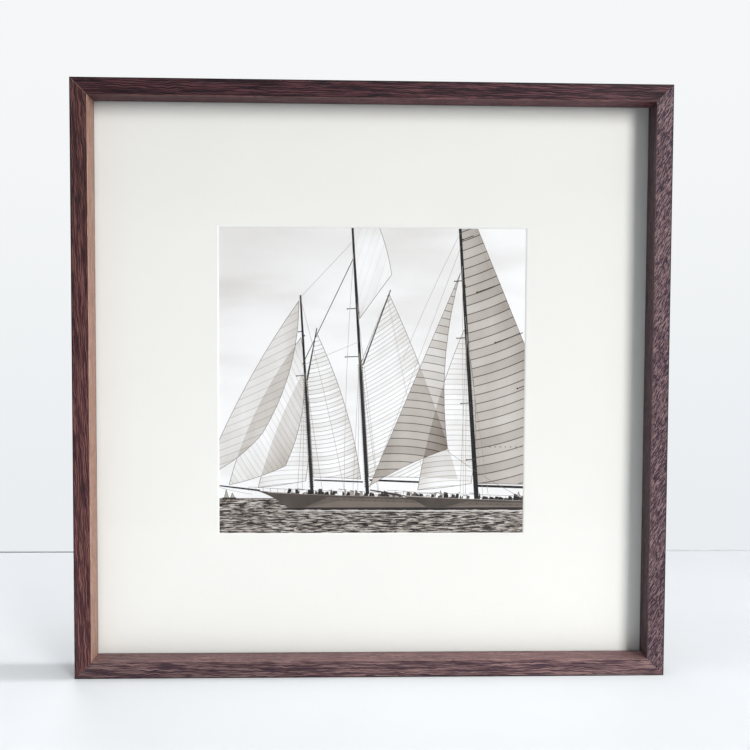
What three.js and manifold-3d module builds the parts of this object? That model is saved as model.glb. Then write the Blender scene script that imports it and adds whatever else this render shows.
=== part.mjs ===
// Square deep box frame with a window mat, standing on its bottom rail.
// Millimetres, +Z up, front towards -Y, seen from the front +X is to the right.
// The origin is the centre of the bottom rail's underside, halfway through the depth.

import * as THREE from 'three';
import { mergeVertices } from 'three/addons/utils/BufferGeometryUtils.js';
import Module from 'manifold-3d';

const wasm = await Module();
wasm.setup();

// ---- Driving dimensions -------------------------------------------------------------------

// Moulding
const OUTER = 520;            // width and height over the rails
const FACE = 15;              // width of a rail seen from the front
const LIP = 5;                // how far the sight edge covers the glazing
const DEPTH = 36;             // front face to back face
const SIGHT_DEPTH = 22;       // front face to the glazing
const ARRIS = 0.5;            // broken edge along the moulding
const MITRE_CLEARANCE = 0.05; // each rail end stops this far short of the corner's diagonal

// Glazing and boards, front to back
const SHEET = 498;            // glazing and boards, 1 mm loose all round in the rebate
const SHEET_GAP = 0.1;
const GLAZING_THICK = 2;
const MAT_THICK = 1.4;
const PRINT_THICK = 0.3;
const HINGE_THICK = 0.15;
const HINGE_GAP = 0.05;
const MOUNT_THICK = 1.4;
const FILLER_THICK = 5;
const BACKING_THICK = 3;

// Window, print and its hinges
const WINDOW = 274;           // clear opening at the back of the mat, where the print shows
const PRINT = 286;
const HINGE_WIDTH = 25;
const HINGE_LENGTH = 30;
const HINGE_UNDER_PRINT = 12; // length of hinge tape behind the print's top edge
const HINGE_SPACING = 180;

// V-nails across the mitres, two in each slot
const NAIL_LEG = 5;
const NAIL_THICK = 0.5;
const NAIL_HEIGHT = 7;
const NAIL_APEX = 7.5;        // apex from both outer faces of the corner
const NAIL_RECESS = 0.2;
const NAIL_CLEARANCE = 0.15;

// Turn buttons, two on each side
const BUTTON_PITCH = 280;     // between the two pivots on a side
const BUTTON_EDGE = 5;        // pivot from the rail's outer face
const BUTTON_ROUND = 4.4;     // radius round the screw
const BUTTON_NOSE = 3;        // radius at the nose
const BUTTON_REACH = 16.5;    // pivot to the centre of the nose
const BUTTON_THICK = 1.2;
const BUTTON_LIFT = 0.1;      // running gap between the button and the rail
const BUTTON_HOLE = 1.7;      // radius
const BUTTON_BEND_AT = 14;    // where the nose starts to turn up
const BUTTON_BEND_RISE = 0.42; // rise of the turned-up nose for each millimetre of length

// Wood screws
const SCREW_HEAD = 3;         // radii
const SCREW_SHANK = 1.4;
const SCREW_PILOT = 1.6;
const SCREW_HEAD_RISE = 1.8;
const SCREW_REACH = 10;       // head's underside to the point
const SCREW_POINT = 2.5;
const SCREW_GAP = 0.1;
const SCREW_SIDES = 16;

// Hangers: a strap plate with a rolled knuckle, and a D-ring that swings in it
const HANGER_HEIGHT = 347;    // ring axis above the bottom face
const HANGER_EDGE = 6.4;      // plate's centre line from the outer face
const PLATE_THICK = 1;
const PLATE_HALF_WIDTH = 3.6;
const PLATE_SCREW_DROP = 16;  // ring axis to screw
const PLATE_END_DROP = 17.9;  // ring axis to the centre of the rounded end
const PLATE_LIFT = 0.05;
const KNUCKLE_RADIUS = 2;
const KNUCKLE_BORE = 1.15;    // radius
const KNUCKLE_WIDTH = 6.4;
const WIRE = 0.9;             // radius of the ring's wire
const RING_HALF_WIDTH = 5.3;  // to the wire's centre line
const RING_ARM = 5;
const RING_CORNER = 1.2;
const RING_STEPS = 44;
const RING_SIDES = 10;

// Rubber bumpers at the back's lower corners
const BUMPER_RADIUS = 4;
const BUMPER_FLAT = 2.8;
const BUMPER_THICK = 2.4;
const BUMPER_INSET = 22;      // centre from the frame's side
const BUMPER_LIFT = 0.05;

// ---- Derived dimensions -------------------------------------------------------------------

const HALF = OUTER / 2;
const FRONT = -DEPTH / 2;
const BACK = DEPTH / 2;
const WALL = FACE - LIP;      // thickness of the rail behind the lip
const REBATE = FRONT + SIGHT_DEPTH;

// ---- Materials ----------------------------------------------------------------------------

function material(colour, roughness, metalness = 0) {
  return new THREE.MeshStandardMaterial({ color: colour, roughness, metalness });
}

const stainedWood = material(0x4a342f, 0.62);
const clearGlass = material(0xdfe8e6, 0.05);
const matBoard = material(0xf1eee9, 0.95);
const printPaper = material(0xb9a68c, 0.8);
const linenTape = material(0xe9e2d2, 0.9);
const mountBoard = material(0xebe6dc, 0.95);
const cardBoard = material(0xb08d63, 0.95);
const fibreBoard = material(0x8a6a4a, 0.85);
const blackSteel = material(0x2c2b2d, 0.45, 1);
const zincSteel = material(0xb9b7ae, 0.35, 1);
const bumperRubber = material(0x2b2b2b, 0.8);

// ---- Helpers ------------------------------------------------------------------------------

const part = new THREE.Group();

function addPart(name, geometry, surface, parent = part) {
  const mesh = new THREE.Mesh(geometry, surface);
  mesh.name = name;
  parent.add(mesh);
  return mesh;
}

// A closed geometry as a solid that can be cut and joined.
function toSolid(geometry) {
  const bare = geometry.clone();
  bare.deleteAttribute('normal');
  bare.deleteAttribute('uv');
  const merged = mergeVertices(bare, 1e-4);
  return new wasm.Manifold(new wasm.Mesh({
    numProp: 3,
    vertProperties: new Float32Array(merged.attributes.position.array),
    triVerts: new Uint32Array(merged.index.array),
  }));
}

function toGeometry(solid) {
  const { vertProperties, triVerts } = solid.getMesh();
  const geometry = new THREE.BufferGeometry();
  geometry.setAttribute('position', new THREE.BufferAttribute(vertProperties, 3));
  geometry.setIndex(new THREE.BufferAttribute(triVerts, 1));
  const faceted = geometry.toNonIndexed();
  faceted.computeVertexNormals();
  return faceted;
}

function cut(geometry, tools) {
  let solid = toSolid(geometry);
  for (const tool of tools) solid = solid.subtract(toSolid(tool));
  return toGeometry(solid);
}

function join(geometries) {
  let solid = toSolid(geometries[0]);
  for (const other of geometries.slice(1)) solid = solid.add(toSolid(other));
  return toGeometry(solid);
}

// A box between two depths, centred on x and z.
function sheet(width, height, front, thick) {
  return new THREE.BoxGeometry(width, thick, height).translate(0, front + thick / 2, 0);
}

// A round bar along the depth, from one depth to another.
function barAlongDepth(radius, from, to, x, z, sides) {
  const bar = new THREE.CylinderGeometry(radius, radius, to - from, sides);
  return bar.translate(x, (from + to) / 2, z);
}

// An outline drawn in x and z, made solid from one depth to another.
function plateFromOutline(outline, front, back, curveSegments) {
  const plate = new THREE.ExtrudeGeometry(outline, {
    depth: back - front, bevelEnabled: false, curveSegments,
  });
  return plate.rotateX(Math.PI / 2).translate(0, back, 0);
}

// ---- Sides of the frame -------------------------------------------------------------------

// Each side has a group of its own, turned about the frame's centre. In it x runs along the
// rail from its middle, y is the depth, and z is the distance in from the outer face.
const CENTRE = new THREE.Group();
CENTRE.position.z = HALF;
part.add(CENTRE);

function sideGroup(quarterTurns) {
  const turned = new THREE.Group();
  turned.rotation.y = quarterTurns * Math.PI / 2;
  const edge = new THREE.Group();
  edge.position.z = -HALF;
  turned.add(edge);
  CENTRE.add(turned);
  return edge;
}

// before and after name the ends at negative and positive x of each side.
const SIDES = [
  { rail: 'rail_bottom', side: 'bottom', quarterTurns: 0, before: 'left', after: 'right' },
  { rail: 'stile_left', side: 'left', quarterTurns: 1, before: 'upper', after: 'lower' },
  { rail: 'rail_top', side: 'top', quarterTurns: 2, before: 'right', after: 'left' },
  { rail: 'stile_right', side: 'right', quarterTurns: 3, before: 'lower', after: 'upper' },
];
for (const side of SIDES) side.group = sideGroup(side.quarterTurns);

// ---- Rails --------------------------------------------------------------------------------

// The moulding's section, drawn as distance in from the outer face and depth.
function mouldingSection() {
  const section = new THREE.Shape();
  section.moveTo(ARRIS, FRONT);
  section.lineTo(FACE - ARRIS, FRONT);
  section.lineTo(FACE, FRONT + ARRIS);
  section.lineTo(FACE, REBATE);
  section.lineTo(WALL, REBATE);
  section.lineTo(WALL, BACK);
  section.lineTo(ARRIS, BACK);
  section.lineTo(0, BACK - ARRIS);
  section.lineTo(0, FRONT + ARRIS);
  section.closePath();
  return section;
}

// A length of moulding whose ends are cut back by their distance in: a 45 degree mitre.
function mitredRail() {
  const rail = new THREE.ExtrudeGeometry(mouldingSection(), { depth: OUTER, bevelEnabled: false });
  rail.rotateY(-Math.PI / 2).translate(HALF, 0, 0);
  const position = rail.attributes.position;
  for (let i = 0; i < position.count; i += 1) {
    const end = HALF - MITRE_CLEARANCE - position.getZ(i);
    position.setX(i, Math.sign(position.getX(i)) * end);
  }
  return rail;
}

// Two V-nails side by side in depth share one slot. The legs run along x and z from the apex.
function nailOutline(grow) {
  const apex = NAIL_APEX + grow;
  const inner = NAIL_APEX - NAIL_THICK - grow;
  const tip = NAIL_APEX - NAIL_LEG - grow;
  const outline = new THREE.Shape();
  outline.moveTo(apex, apex);
  outline.lineTo(tip, apex);
  outline.lineTo(tip, inner);
  outline.lineTo(inner, inner);
  outline.lineTo(inner, tip);
  outline.lineTo(apex, tip);
  outline.closePath();
  return outline;
}

const NAIL_SLOT_FRONT = BACK - NAIL_RECESS - 2 * (NAIL_HEIGHT + NAIL_CLEARANCE);

// The slot at the end of the rail where x is negative, or at the other end.
function nailSlot(atPositiveEnd) {
  const slot = plateFromOutline(nailOutline(NAIL_CLEARANCE), NAIL_SLOT_FRONT, BACK + 1);
  if (atPositiveEnd) slot.rotateY(-Math.PI / 2);
  return slot.translate(atPositiveEnd ? HALF : -HALF, 0, 0);
}

function pilotHole(x, z) {
  return barAlongDepth(SCREW_PILOT, BACK - SCREW_REACH, BACK + 1, x, z, SCREW_SIDES);
}

// Where the hanger's screw is on a stile, along the stile's own x.
const HANGER_SCREW_ALONG = {
  left: HALF - HANGER_HEIGHT + PLATE_SCREW_DROP,
  right: HANGER_HEIGHT - PLATE_SCREW_DROP - HALF,
};

function railGeometry(side) {
  const holes = [nailSlot(false), nailSlot(true)];
  for (const end of [-1, 1]) holes.push(pilotHole(end * BUTTON_PITCH / 2, BUTTON_EDGE));
  if (side in HANGER_SCREW_ALONG) {
    holes.push(pilotHole(HANGER_SCREW_ALONG[side], HANGER_EDGE));
  }
  return cut(mitredRail(), holes);
}

for (const { rail, side, group } of SIDES) {
  addPart(rail, railGeometry(side), stainedWood, group);
}

// ---- V-nails ------------------------------------------------------------------------------

// Each corner's pair sits in the slot at the negative end of one side.
const NAIL_CORNERS = {
  bottom: 'bottom_left', left: 'top_left', top: 'top_right', right: 'bottom_right',
};

for (const { side, group } of SIDES) {
  const rearFront = BACK - NAIL_RECESS - NAIL_HEIGHT;
  const frontFront = rearFront - NAIL_CLEARANCE - NAIL_HEIGHT;
  for (const [place, front] of [['rear', rearFront], ['front', frontFront]]) {
    const nail = plateFromOutline(nailOutline(0), front, front + NAIL_HEIGHT);
    nail.translate(-HALF, 0, 0);
    addPart(`v_nail_${NAIL_CORNERS[side]}_${place}`, nail, zincSteel, group);
  }
}

// ---- Glazing, mat, print and boards -------------------------------------------------------

const GLAZING_FRONT = REBATE + SHEET_GAP;
const MAT_FRONT = GLAZING_FRONT + GLAZING_THICK + SHEET_GAP;
const PRINT_FRONT = MAT_FRONT + MAT_THICK + SHEET_GAP;
const HINGE_FRONT = PRINT_FRONT + PRINT_THICK + HINGE_GAP;
const MOUNT_FRONT = HINGE_FRONT + HINGE_THICK + HINGE_GAP;
const FILLER_FRONT = MOUNT_FRONT + MOUNT_THICK + SHEET_GAP;
const BACKING_FRONT = FILLER_FRONT + FILLER_THICK + SHEET_GAP;

// A board with a square window whose cut slopes at 45 degrees, wider at the front.
function windowMat() {
  const board = new THREE.Shape();
  const edge = SHEET / 2;
  board.moveTo(-edge, -edge);
  board.lineTo(edge, -edge);
  board.lineTo(edge, edge);
  board.lineTo(-edge, edge);
  board.closePath();
  const opening = new THREE.Path();
  const half = WINDOW / 2;
  opening.moveTo(-half, -half);
  opening.lineTo(-half, half);
  opening.lineTo(half, half);
  opening.lineTo(half, -half);
  opening.closePath();
  board.holes.push(opening);
  const mat = plateFromOutline(board, MAT_FRONT, MAT_FRONT + MAT_THICK);
  const position = mat.attributes.position;
  for (let i = 0; i < position.count; i += 1) {
    const x = position.getX(i);
    const z = position.getZ(i);
    const inWindow = Math.abs(x) < edge - 1 && Math.abs(z) < edge - 1;
    const atFront = position.getY(i) < MAT_FRONT + MAT_THICK / 2;
    if (inWindow && atFront) {
      position.setX(i, x + Math.sign(x) * MAT_THICK);
      position.setZ(i, z + Math.sign(z) * MAT_THICK);
    }
  }
  mat.computeVertexNormals();
  return mat;
}

addPart('glazing', sheet(SHEET, SHEET, GLAZING_FRONT, GLAZING_THICK), clearGlass, CENTRE);
addPart('window_mat', windowMat(), matBoard, CENTRE);
addPart('print', sheet(PRINT, PRINT, PRINT_FRONT, PRINT_THICK), printPaper, CENTRE);
addPart('mount_board', sheet(SHEET, SHEET, MOUNT_FRONT, MOUNT_THICK), mountBoard, CENTRE);
addPart('filler_board', sheet(SHEET, SHEET, FILLER_FRONT, FILLER_THICK), cardBoard, CENTRE);
addPart('backing_board', sheet(SHEET, SHEET, BACKING_FRONT, BACKING_THICK), fibreBoard, CENTRE);

for (const [place, sign] of [['left', -1], ['right', 1]]) {
  const tape = sheet(HINGE_WIDTH, HINGE_LENGTH, HINGE_FRONT, HINGE_THICK);
  const bottom = PRINT / 2 - HINGE_UNDER_PRINT;
  tape.translate(sign * HINGE_SPACING / 2, 0, bottom + HINGE_LENGTH / 2);
  addPart(`print_hinge_${place}`, tape, linenTape, CENTRE);
}

// ---- Turn buttons and their screws --------------------------------------------------------

const BUTTON_FRONT = BACK + BUTTON_LIFT;
const BUTTON_BACK = BUTTON_FRONT + BUTTON_THICK;

// Pear outline round the screw and the nose, in x and z, with the pivot at the origin.
function buttonOutline() {
  const lean = Math.asin((BUTTON_ROUND - BUTTON_NOSE) / BUTTON_REACH);
  const outline = new THREE.Shape();
  outline.absarc(0, BUTTON_REACH, BUTTON_NOSE, lean, Math.PI - lean, false);
  outline.absarc(0, 0, BUTTON_ROUND, Math.PI - lean, 2 * Math.PI + lean, false);
  outline.closePath();
  return outline;
}

// The pressed plate seen from its side: flat over the screw, nose turned up for a fingertip.
function buttonProfile() {
  const start = -BUTTON_ROUND - 1;
  const end = BUTTON_REACH + BUTTON_NOSE + 1;
  const rise = (end - BUTTON_BEND_AT) * BUTTON_BEND_RISE;
  const profile = new THREE.Shape();
  profile.moveTo(start, BUTTON_FRONT);
  profile.lineTo(BUTTON_BEND_AT, BUTTON_FRONT);
  profile.lineTo(end, BUTTON_FRONT + rise);
  profile.lineTo(end, BUTTON_BACK + rise);
  profile.lineTo(BUTTON_BEND_AT, BUTTON_BACK);
  profile.lineTo(start, BUTTON_BACK);
  profile.closePath();
  return profile;
}

function turnButton() {
  const width = 2 * BUTTON_ROUND + 2;
  const pressed = new THREE.ExtrudeGeometry(buttonProfile(), { depth: width, bevelEnabled: false });
  pressed.rotateY(-Math.PI / 2).translate(width / 2, 0, 0);
  const tall = plateFromOutline(buttonOutline(), BUTTON_FRONT - 1, BUTTON_BACK + 5, 12);
  const hole = barAlongDepth(BUTTON_HOLE, BUTTON_FRONT - 1, BUTTON_BACK + 1, 0, 0, SCREW_SIDES);
  return toGeometry(toSolid(pressed).intersect(toSolid(tall)).subtract(toSolid(hole)));
}

// A pan-headed wood screw along the depth, its head's underside at the given depth.
function woodScrew(seat) {
  const outline = [
    [0, -SCREW_REACH],
    [SCREW_SHANK, -SCREW_REACH + SCREW_POINT],
    [SCREW_SHANK, 0],
    [SCREW_HEAD, 0],
    [SCREW_HEAD, SCREW_HEAD_RISE * 0.35],
    [SCREW_HEAD * 0.86, SCREW_HEAD_RISE * 0.75],
    [SCREW_HEAD * 0.55, SCREW_HEAD_RISE],
    [0, SCREW_HEAD_RISE],
  ].map(([radius, height]) => new THREE.Vector2(radius, height));
  const body = new THREE.LatheGeometry(outline, SCREW_SIDES);
  const slots = [0, Math.PI / 2].map((turn) => (
    new THREE.BoxGeometry(3.2, 2, 0.7).rotateY(turn).translate(0, SCREW_HEAD_RISE, 0)
  ));
  return cut(body, slots).translate(0, seat + SCREW_GAP, 0);
}

const buttonGeometry = turnButton();
const buttonScrewGeometry = woodScrew(BUTTON_BACK);

for (const { side, group, before, after } of SIDES) {
  for (const [place, sign] of [[before, -1], [after, 1]]) {
    const button = addPart(`turn_button_${side}_${place}`, buttonGeometry, blackSteel, group);
    const screw = addPart(`turn_screw_${side}_${place}`, buttonScrewGeometry, zincSteel, group);
    for (const mesh of [button, screw]) {
      mesh.position.set(sign * BUTTON_PITCH / 2, 0, BUTTON_EDGE);
    }
  }
}

// ---- Hangers ------------------------------------------------------------------------------

const PLATE_FRONT = BACK + PLATE_LIFT;
const RING_AXIS_DEPTH = PLATE_FRONT + KNUCKLE_RADIUS;

// Everything on a hanger is drawn with the ring's axis at x = 0, z = 0.
function hangerPlate() {
  const outline = new THREE.Shape();
  outline.moveTo(PLATE_HALF_WIDTH, 0);
  outline.lineTo(-PLATE_HALF_WIDTH, 0);
  outline.absarc(0, -PLATE_END_DROP, PLATE_HALF_WIDTH, Math.PI, 2 * Math.PI, false);
  outline.closePath();
  const plate = plateFromOutline(outline, PLATE_FRONT, PLATE_FRONT + PLATE_THICK, 12);
  const knuckle = new THREE.CylinderGeometry(
    KNUCKLE_RADIUS, KNUCKLE_RADIUS, KNUCKLE_WIDTH, 20);
  knuckle.rotateZ(Math.PI / 2).translate(0, RING_AXIS_DEPTH, 0);
  const bore = new THREE.CylinderGeometry(KNUCKLE_BORE, KNUCKLE_BORE, 2 * KNUCKLE_WIDTH, 16);
  bore.rotateZ(Math.PI / 2).translate(0, RING_AXIS_DEPTH, 0);
  const hole = barAlongDepth(SCREW_PILOT, BACK - 1, BACK + 3, 0, -PLATE_SCREW_DROP, SCREW_SIDES);
  return cut(join([plate, knuckle]), [bore, hole]);
}

// The ring's centre line: a straight bar along x, two arms down and a half-round between them.
function ringPath() {
  const corner = RING_HALF_WIDTH - RING_CORNER;
  const path = new THREE.Path();
  path.moveTo(-corner, 0);
  path.lineTo(corner, 0);
  path.absarc(corner, -RING_CORNER, RING_CORNER, Math.PI / 2, 0, true);
  path.lineTo(RING_HALF_WIDTH, -RING_ARM);
  path.absarc(0, -RING_ARM, RING_HALF_WIDTH, 0, -Math.PI, true);
  path.lineTo(-RING_HALF_WIDTH, -RING_CORNER);
  path.absarc(-corner, -RING_CORNER, RING_CORNER, Math.PI, Math.PI / 2, true);
  return path;
}

// Round wire bent along a closed flat path: one torus-like skin with no ends.
function closedWire(path, radius, steps, sides) {
  const positions = [];
  const indices = [];
  for (let i = 0; i < steps; i += 1) {
    const centre = path.getPointAt(i / steps);
    const tangent = path.getTangentAt(i / steps);
    for (let j = 0; j < sides; j += 1) {
      const angle = j / sides * 2 * Math.PI;
      const across = radius * Math.cos(angle);
      positions.push(
        centre.x + across * tangent.y,
        RING_AXIS_DEPTH + radius * Math.sin(angle),
        centre.y - across * tangent.x,
      );
      const nextStep = (i + 1) % steps * sides;
      const nextSide = (j + 1) % sides;
      const here = i * sides;
      indices.push(here + j, here + nextSide, nextStep + j);
      indices.push(nextStep + j, here + nextSide, nextStep + nextSide);
    }
  }
  const wire = new THREE.BufferGeometry();
  wire.setAttribute('position', new THREE.Float32BufferAttribute(positions, 3));
  wire.setIndex(indices);
  wire.computeVertexNormals();
  return wire;
}

for (const [place, sign] of [['left', -1], ['right', 1]]) {
  const hanger = new THREE.Group();
  hanger.position.set(sign * (HALF - HANGER_EDGE), 0, HANGER_HEIGHT);
  part.add(hanger);
  addPart(`hanger_plate_${place}`, hangerPlate(), zincSteel, hanger);
  const wire = closedWire(ringPath(), WIRE, RING_STEPS, RING_SIDES);
  addPart(`hanger_ring_${place}`, wire, zincSteel, hanger);
  const screw = woodScrew(PLATE_FRONT + PLATE_THICK);
  addPart(`hanger_screw_${place}`, screw, zincSteel, hanger).position.z = -PLATE_SCREW_DROP;
}

// ---- Wall bumpers -------------------------------------------------------------------------

function wallBumper() {
  const outline = [
    [0, 0],
    [BUMPER_RADIUS, 0],
    [BUMPER_RADIUS, BUMPER_THICK * 0.4],
    [BUMPER_RADIUS * 0.92, BUMPER_THICK * 0.8],
    [BUMPER_FLAT, BUMPER_THICK],
    [0, BUMPER_THICK],
  ].map(([radius, height]) => new THREE.Vector2(radius, height));
  return new THREE.LatheGeometry(outline, 20).translate(0, BACK + BUMPER_LIFT, 0);
}

for (const [place, sign] of [['left', -1], ['right', 1]]) {
  const bumper = addPart(`wall_bumper_${place}`, wallBumper(), bumperRubber);
  bumper.position.set(sign * (HALF - BUMPER_INSET), 0, WALL / 2);
}

export default part;
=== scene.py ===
"""Looks of the deep box frame: stained rails, window mat, print, glass and the hardware on its back.

Metres, +Z up, front towards -Y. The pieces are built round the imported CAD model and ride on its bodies.
"""

import math
import random
from dataclasses import dataclass

import bmesh
import bpy
from mathutils import Matrix, Vector
from mathutils.geometry import delaunay_2d_cdt


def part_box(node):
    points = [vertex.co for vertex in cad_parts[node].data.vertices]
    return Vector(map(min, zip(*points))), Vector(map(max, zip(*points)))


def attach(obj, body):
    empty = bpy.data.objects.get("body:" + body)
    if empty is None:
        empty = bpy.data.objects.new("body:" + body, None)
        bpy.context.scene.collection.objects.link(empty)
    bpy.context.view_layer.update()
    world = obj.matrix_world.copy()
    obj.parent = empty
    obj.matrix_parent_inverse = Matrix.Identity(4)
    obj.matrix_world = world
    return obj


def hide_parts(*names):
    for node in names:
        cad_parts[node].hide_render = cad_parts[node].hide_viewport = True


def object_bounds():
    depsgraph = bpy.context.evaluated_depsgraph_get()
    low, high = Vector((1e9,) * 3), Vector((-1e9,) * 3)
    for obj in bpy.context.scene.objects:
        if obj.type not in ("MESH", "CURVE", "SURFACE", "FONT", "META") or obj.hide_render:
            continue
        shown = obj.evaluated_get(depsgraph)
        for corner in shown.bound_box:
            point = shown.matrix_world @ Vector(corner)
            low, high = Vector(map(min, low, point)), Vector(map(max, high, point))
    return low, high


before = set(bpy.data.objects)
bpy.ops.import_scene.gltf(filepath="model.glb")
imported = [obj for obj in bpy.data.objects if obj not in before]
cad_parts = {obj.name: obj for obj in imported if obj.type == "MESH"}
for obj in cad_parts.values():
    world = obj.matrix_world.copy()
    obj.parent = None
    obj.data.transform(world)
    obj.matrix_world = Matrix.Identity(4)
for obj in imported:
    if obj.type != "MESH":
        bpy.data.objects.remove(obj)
CAD_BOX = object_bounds()

MM = 0.001
QUARTER = math.pi / 2
FULL = 2 * math.pi

# ---- Sizes read from the frame ----

LOW, HIGH = CAD_BOX
HALF = (HIGH.x - LOW.x) / 2
CENTRE = Vector((0, 0, HALF))
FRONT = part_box("rail_top")[0].y
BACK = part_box("rail_top")[1].y
FACE = HIGH.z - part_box("rail_top")[0].z
MAT_FRONT, MAT_BACK = (corner.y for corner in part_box("window_mat"))
MAT_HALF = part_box("window_mat")[1].x
PRINT_FRONT, PRINT_BACK = (corner.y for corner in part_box("print"))
PRINT_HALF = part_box("print")[1].x

# ---- Sizes of the moulding and the hardware, as the CAD model has them ----

WALL = 10 * MM                # thickness of a rail behind the lip
REBATE = FRONT + 22 * MM      # where the glazing rests
ARRIS = 0.6 * MM              # radius of the broken edges
MITRE_CLEARANCE = 0.05 * MM
WINDOW_HALF = 137 * MM        # at the back of the mat
CORE = MAT_BACK - MAT_FRONT   # width of the 45 degree cut

NAIL_APEX = 7.65 * MM         # the V-nail slot, with its clearance
NAIL_INNER = 6.85 * MM
NAIL_TIP = 2.35 * MM
NAIL_SLOT_DEPTH = 14.5 * MM

BUTTON_PITCH = 280 * MM
BUTTON_EDGE = 5 * MM          # pivot from the rail's outer face
BUTTON_ROUND = 4.4 * MM
BUTTON_NOSE = 3 * MM
BUTTON_REACH = 16.5 * MM
BUTTON_THICK = 1.2 * MM
BUTTON_HOLE = 1.7 * MM
BUTTON_FRONT = BACK + 0.1 * MM
BUTTON_BEND_AT = 13 * MM
BUTTON_BEND_RISE = 2.2 * MM
BUTTON_LONGEST = BUTTON_REACH + BUTTON_NOSE

SCREW_HEAD = 3 * MM
SCREW_HEAD_RISE = 1.8 * MM
SCREW_SHANK = 1.4 * MM
SCREW_REACH = 10 * MM
SCREW_POINT = 2.5 * MM
SCREW_THREAD = 0.8 * MM       # from one turn of the thread to the next
SCREW_GAP = 0.1 * MM
SCREW_PILOT = 1.6 * MM

HANGER_HEIGHT = 347 * MM
HANGER_EDGE = 6.4 * MM
PLATE_FRONT = BACK + 0.05 * MM
PLATE_THICK = 1 * MM
PLATE_HALF_WIDTH = 3.6 * MM
PLATE_SCREW_DROP = 16 * MM
PLATE_END_DROP = 17.9 * MM
KNUCKLE_RADIUS = 2 * MM
KNUCKLE_BORE = 1.15 * MM
KNUCKLE_HALF_WIDTH = 3.2 * MM
RING_AXIS_DEPTH = PLATE_FRONT + KNUCKLE_RADIUS
WIRE = 0.9 * MM
RING_HALF_WIDTH = 5.3 * MM
RING_ARM = 5 * MM
RING_CORNER = 1.2 * MM

BUMPER_INSET = 22 * MM
BUMPER_RADIUS = 4 * MM
BUMPER_THICK = 2.4 * MM
BUMPER_FRONT = BACK + 0.05 * MM

# before and after name the ends at negative and positive x of each side, as in the CAD model.
SIDES = (
    {"rail": "rail_bottom", "side": "bottom", "turns": 0, "before": "left", "after": "right"},
    {"rail": "stile_left", "side": "left", "turns": 1, "before": "upper", "after": "lower"},
    {"rail": "rail_top", "side": "top", "turns": 2, "before": "right", "after": "left"},
    {"rail": "stile_right", "side": "right", "turns": 3, "before": "lower", "after": "upper"},
)


def side_matrix(turns):
    """From a side's own axes (x along it, y depth, z in from the outer face) to the row frame."""
    return (
        Matrix.Translation(CENTRE)
        @ Matrix.Rotation(turns * QUARTER, 4, "Y")
        @ Matrix.Translation((0, 0, -HALF))
    )


# ---- Shader nodes ----


class Value:
    """What a shader works out at each point. Arithmetic on it adds the nodes that do the sum."""

    def __init__(self, socket):
        self.socket = socket
        self.tree = socket.id_data

    def calc(self, operation, *others):
        return calc(self.tree, operation, self, *others)

    def __add__(self, other):
        return self.calc("ADD", other)

    def __sub__(self, other):
        return self.calc("SUBTRACT", other)

    def __rsub__(self, other):
        return calc(self.tree, "SUBTRACT", other, self)

    def __mul__(self, other):
        return self.calc("MULTIPLY", other)

    def __abs__(self):
        return self.calc("ABSOLUTE")

    def each_times(self, factors):
        return first_of(self.tree, "VectorMath", (self, factors), operation="MULTIPLY")

    def parts(self):
        return [Value(part) for part in node(self.tree, "SeparateXYZ", (self,)).outputs]


def node(tree, kind, inputs=(), **settings):
    """Adds a node. Its inputs, in order or by name or place, are linked to Values or set."""
    made = tree.nodes.new("ShaderNode" + kind)
    for name, value in settings.items():
        setattr(made, name, value)
    if not isinstance(inputs, dict):
        inputs = dict(enumerate(inputs))
    for name, value in inputs.items():
        socket = made.inputs[name]
        if isinstance(value, Value):
            tree.links.new(value.socket, socket)
        elif socket.type == "RGBA":
            socket.default_value = (*value, 1)
        else:
            socket.default_value = value
    return made


def first_of(tree, kind, inputs=(), **settings):
    """Adds a node and gives its first output."""
    return Value(node(tree, kind, inputs, **settings).outputs[0])


def calc(tree, operation, *values):
    return first_of(tree, "Math", values, operation=operation)


def tree_of(values):
    return next(value.tree for value in values if isinstance(value, Value))


def smooth(value, low, high, to_low=0.0, to_high=1.0):
    """Eases from to_low to to_high as value goes from low to high."""
    inputs = (value, low, high, to_low, to_high)
    return first_of(value.tree, "MapRange", inputs, interpolation_type="SMOOTHSTEP")


def shaded(colour, amount):
    """A colour made lighter or darker by an amount."""
    return first_of(amount.tree, "VectorMath", {0: colour, 3: amount}, operation="SCALE")


def mixed(factor, a, b, blend="MIX"):
    """Colour a, or colour b where factor is 1. The node takes colours at 6 and 7 and gives one at 2."""
    inputs = {0: factor, 6: a, 7: b}
    made = node(tree_of(inputs.values()), "Mix", inputs, data_type="RGBA", blend_type=blend)
    return Value(made.outputs[2])


def noise(place, scale, detail=2.0, roughness=0.5, distortion=0.0):
    """Noise from 0 to 1. Three scales stretch it along the axes."""
    if isinstance(scale, tuple):
        place, scale = place.each_times(scale), 1.0
    inputs = {
        "Vector": place,
        "Scale": scale,
        "Detail": detail,
        "Roughness": roughness,
        "Distortion": distortion,
    }
    return first_of(place.tree, "TexNoise", inputs)


def ramp(value, stops):
    made = node(value.tree, "ValToRGB", (value,))
    elements = made.color_ramp.elements
    while len(elements) < len(stops):
        elements.new(0.5)
    for element, (place, colour) in zip(elements, stops):
        element.position = place
        element.color = (*colour, 1)
    return Value(made.outputs[0])


def bumped(height, strength, distance):
    inputs = {"Height": height, "Strength": strength, "Distance": distance}
    return first_of(height.tree, "Bump", inputs)


def new_material(name):
    """An empty material and the object coordinates in it."""
    material = bpy.data.materials.new(name)
    material.use_nodes = True
    tree = material.node_tree
    tree.nodes.clear()
    return material, Value(node(tree, "TexCoord").outputs["Object"])


def output(shader):
    node(shader.tree, "OutputMaterial", {"Surface": shader})


def principled(**inputs):
    """A Principled shader; an underscore in a keyword stands for a space in the socket's name."""
    sockets = {name.replace("_", " "): value for name, value in inputs.items()}
    output(first_of(tree_of(inputs.values()), "BsdfPrincipled", sockets))


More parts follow.
